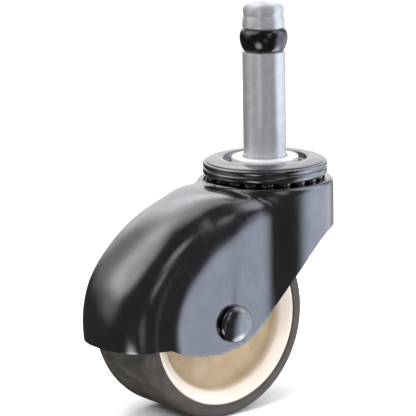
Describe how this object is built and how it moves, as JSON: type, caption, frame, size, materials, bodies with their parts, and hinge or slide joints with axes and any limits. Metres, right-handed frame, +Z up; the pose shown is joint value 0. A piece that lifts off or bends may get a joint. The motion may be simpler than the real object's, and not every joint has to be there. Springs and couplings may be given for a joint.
{
  "type": "hooded swivel caster",
  "caption": "Hooded swivel caster with a grip-ring stem, a swivel ball bearing and a treaded wheel, for the foot of a chair.",
  "frame": {"origin": "on the swivel axis, level with the top face of the swivel collar, where the chair leg rests", "axes": "+Z up the stem, +X forward with the wheel trailing towards -X, and +Y along the wheel's axle"},
  "size_m": [0.0721, 0.0354, 0.1035],
  "materials": {
    "bright_zinc": "bright zinc plate, polished",
    "black_oxide": "black oxide, satin to glossy",
    "gunmetal_plate": "dark nickel plate, polished",
    "bearing_steel": "ground and polished",
    "race_steel": "hardened, lightly oiled",
    "cream_nylon": "moulded, satin",
    "dark_tread": "moulded rubber, matt"
  },
  "bodies": {
    "stem_assembly": {"stem": "bright_zinc", "flange_washer": "bright_zinc", "swivel_collar": "gunmetal_plate", "retaining_cup": "race_steel"},
    "swivel_fork": {"hood": "gunmetal_plate", "swivel_race": "race_steel", "axle": "black_oxide", "thrust_washer_near": "bright_zinc", "thrust_washer_far": "bright_zinc"},
    "wheel": {"wheel_core": "cream_nylon", "tyre": "dark_tread", "hub_bush": "bearing_steel"},
    "upper_ball_ring": {"upper_ball_01": "bearing_steel", "upper_ball_02": "bearing_steel", "upper_ball_03": "bearing_steel", "upper_ball_04": "bearing_steel", "upper_ball_05": "bearing_steel", "upper_ball_06": "bearing_steel", "upper_ball_07": "bearing_steel", "upper_ball_08": "bearing_steel", "upper_ball_09": "bearing_steel", "upper_ball_10": "bearing_steel", "upper_ball_11": "bearing_steel", "upper_ball_12": "bearing_steel", "upper_ball_13": "bearing_steel", "upper_ball_14": "bearing_steel", "upper_ball_15": "bearing_steel", "upper_ball_16": "bearing_steel", "upper_ball_17": "bearing_steel", "upper_ball_18": "bearing_steel", "upper_ball_19": "bearing_steel", "upper_ball_20": "bearing_steel"},
    "lower_ball_ring": {"lower_ball_01": "bearing_steel", "lower_ball_02": "bearing_steel", "lower_ball_03": "bearing_steel", "lower_ball_04": "bearing_steel", "lower_ball_05": "bearing_steel", "lower_ball_06": "bearing_steel", "lower_ball_07": "bearing_steel", "lower_ball_08": "bearing_steel", "lower_ball_09": "bearing_steel", "lower_ball_10": "bearing_steel", "lower_ball_11": "bearing_steel", "lower_ball_12": "bearing_steel", "lower_ball_13": "bearing_steel", "lower_ball_14": "bearing_steel"},
    "grip_ring": {"grip_ring": "black_oxide"}
  },
  "joints": [
    {"name": "swivel", "type": "hinge", "parent": "stem_assembly", "child": "swivel_fork", "pos_m": [0, 0, 0], "axis": [0, 0, 1], "continuous": true},
    {"name": "wheel_spin", "type": "hinge", "parent": "swivel_fork", "child": "wheel", "pos_m": [-0.0224, 0, -0.0382], "axis": [0, 1, 0], "continuous": true},
    {"name": "upper_ball_run", "type": "hinge", "parent": "stem_assembly", "child": "upper_ball_ring", "pos_m": [0, 0, -0.0051], "axis": [0, 0, 1], "continuous": true},
    {"name": "lower_ball_run", "type": "hinge", "parent": "stem_assembly", "child": "lower_ball_ring", "pos_m": [0, 0, -0.0113], "axis": [0, 0, 1], "continuous": true},
    {"name": "grip_ring_turn", "type": "hinge", "parent": "stem_assembly", "child": "grip_ring", "pos_m": [0, 0, 0.0306], "axis": [0, 0, 1], "continuous": true}
  ],
  "couplings": [
    {"joint": "upper_ball_run", "follows": "swivel", "ratio": 0.5},
    {"joint": "lower_ball_run", "follows": "swivel", "ratio": 0.5}
  ]
}
